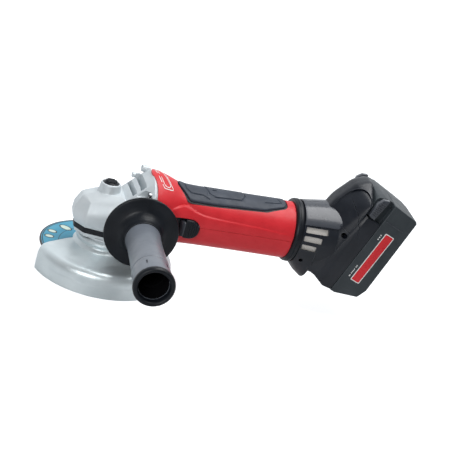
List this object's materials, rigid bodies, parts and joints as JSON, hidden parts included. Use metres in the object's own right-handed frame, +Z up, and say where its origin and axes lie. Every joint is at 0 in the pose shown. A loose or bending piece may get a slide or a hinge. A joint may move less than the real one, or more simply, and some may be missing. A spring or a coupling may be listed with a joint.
{
  "type": "cordless angle grinder",
  "caption": "Cordless angle grinder with an angled gear head, wheel guard, cutting disc, side handle, slide switch and a battery pack that slides onto the rear foot.",
  "frame": {"origin": "centre of the output spindle's end face, under the clamping nut", "axes": "+Z up the spindle into the gear head; +X rearwards along the motor towards the battery; -Y to the side handle and slide switch"},
  "size_m": [0.3493, 0.2173, 0.1427],
  "materials": {
    "cast_aluminium": "light blue-grey painted die-casting, satin, slightly grainy",
    "guard_silver": "smooth silver-grey pressed sheet",
    "steel": "machined steel with fine turning marks",
    "gear_steel": "dark hardened gear steel with a film of grease",
    "red_plastic": "red moulded nylon with a fine satin texture",
    "black_plastic": "blue-black moulded nylon, semi-matte",
    "grip_rubber": "dark grey moulded grip with a soft sheen",
    "soft_inlay": "grey soft-touch overmould",
    "pack_plastic": "dark greenish-grey moulded case, finely grained",
    "copper": "turned copper bars",
    "carbon": "dark sintered carbon or ferrite",
    "circuit_board": "green circuit board",
    "cell_wrap": null,
    "filter_mesh": "beige-grey woven dust mesh",
    "disc_label": "abrasive disc with a light-blue paper label"
  },
  "bodies": {
    "tool": {"bearing_flange": "cast_aluminium", "brush_holder": "black_plastic", "carbon_brush_left": "carbon", "carbon_brush_right": "carbon", "dust_filter_left": "filter_mesh", "dust_filter_right": "filter_mesh", "electronics_module": "circuit_board", "gear_housing": "cast_aluminium", "gearbox_screw_1": "steel", "gearbox_screw_2": "steel", "gearbox_screw_3": "steel", "gearbox_screw_4": "steel", "handle_end_ring": "black_plastic", "handle_end_sleeve": "grip_rubber", "handle_flange": "black_plastic", "handle_grip": "grip_rubber", "handle_stud": "steel", "housing_collar_ring": "black_plastic", "housing_spacer": "black_plastic", "latch_pin": "steel", "magnet_lower": "carbon", "magnet_upper": "carbon", "motor_bearing_front": "steel", "motor_bearing_rear": "steel", "motor_can": "steel", "motor_housing_lower": "red_plastic", "motor_housing_upper": "red_plastic", "rear_housing_left": "black_plastic", "rear_housing_right": "black_plastic", "soft_grip_inlay": "soft_inlay", "spindle_bearing_lower": "steel", "spindle_bearing_upper": "steel", "spindle_lock_spring": "steel", "switch_unit": "black_plastic", "terminal_block": "black_plastic"},
    "spindle": {"spindle": "steel", "crown_gear": "gear_steel", "support_flange": "steel", "cutting_disc": "disc_label", "clamping_nut": "steel"},
    "armature": {"motor_shaft": "steel", "armature_core": "steel", "commutator": "copper", "cooling_fan": "black_plastic", "pinion_gear": "gear_steel"},
    "lock": {"spindle_lock_button": "black_plastic", "spindle_lock_pin": "steel"},
    "switch": {"switch_slider": "black_plastic", "switch_rod": "steel"},
    "guard": {"wheel_guard": "guard_silver"},
    "latch": {"guard_latch": "steel"},
    "battery": {"battery_case": "pack_plastic", "battery_cover": "pack_plastic", "battery_cells": "cell_wrap", "battery_circuit_board": "circuit_board"},
    "release_left": {"battery_release_left": "black_plastic"},
    "release_right": {"battery_release_right": "black_plastic"}
  },
  "joints": [
    {"name": "spindle_spin", "type": "hinge", "parent": "tool", "child": "spindle", "pos_m": [0, 0, 0], "axis": [0, 0, 1], "continuous": true},
    {"name": "armature_spin", "type": "hinge", "parent": "tool", "child": "armature", "pos_m": [0, 0, 0.06], "axis": [1, 0, 0], "continuous": true},
    {"name": "lock_press", "type": "slide", "parent": "tool", "child": "lock", "axis": [0, 0, -1], "range_m": [0, 0.004], "stiffness_N_per_m": 300, "springref_m": -0.005, "deforming": ["spindle_lock_spring"]},
    {"name": "switch_slide", "type": "slide", "parent": "tool", "child": "switch", "axis": [-1, 0, 0], "range_m": [0, 0.008], "stiffness_N_per_m": 300, "springref_m": -0.005},
    {"name": "guard_turn", "type": "hinge", "parent": "tool", "child": "guard", "pos_m": [0, 0, 0.02], "axis": [0, 0, 1], "range_deg": [-120, 120]},
    {"name": "latch_release", "type": "hinge", "parent": "tool", "child": "latch", "pos_m": [0.033, 0, 0.0215], "axis": [0, -1, 0], "range_deg": [0, 12], "stiffness_Nm_per_rad": 0.5, "springref_deg": -8.59},
    {"name": "battery_slide", "type": "slide", "parent": "tool", "child": "battery", "axis": [0.3541, 0, 0.9352], "range_m": [0, 0.07]},
    {"name": "release_left_press", "type": "slide", "parent": "battery", "child": "release_left", "axis": [0, 1, 0], "range_m": [0, 0.0025], "stiffness_N_per_m": 300, "springref_m": -0.004},
    {"name": "release_right_press", "type": "slide", "parent": "battery", "child": "release_right", "axis": [0, -1, 0], "range_m": [0, 0.0025], "stiffness_N_per_m": 300, "springref_m": -0.004}
  ],
  "couplings": [
    {"joint": "armature_spin", "follows": "spindle_spin", "ratio": 4}
  ]
}
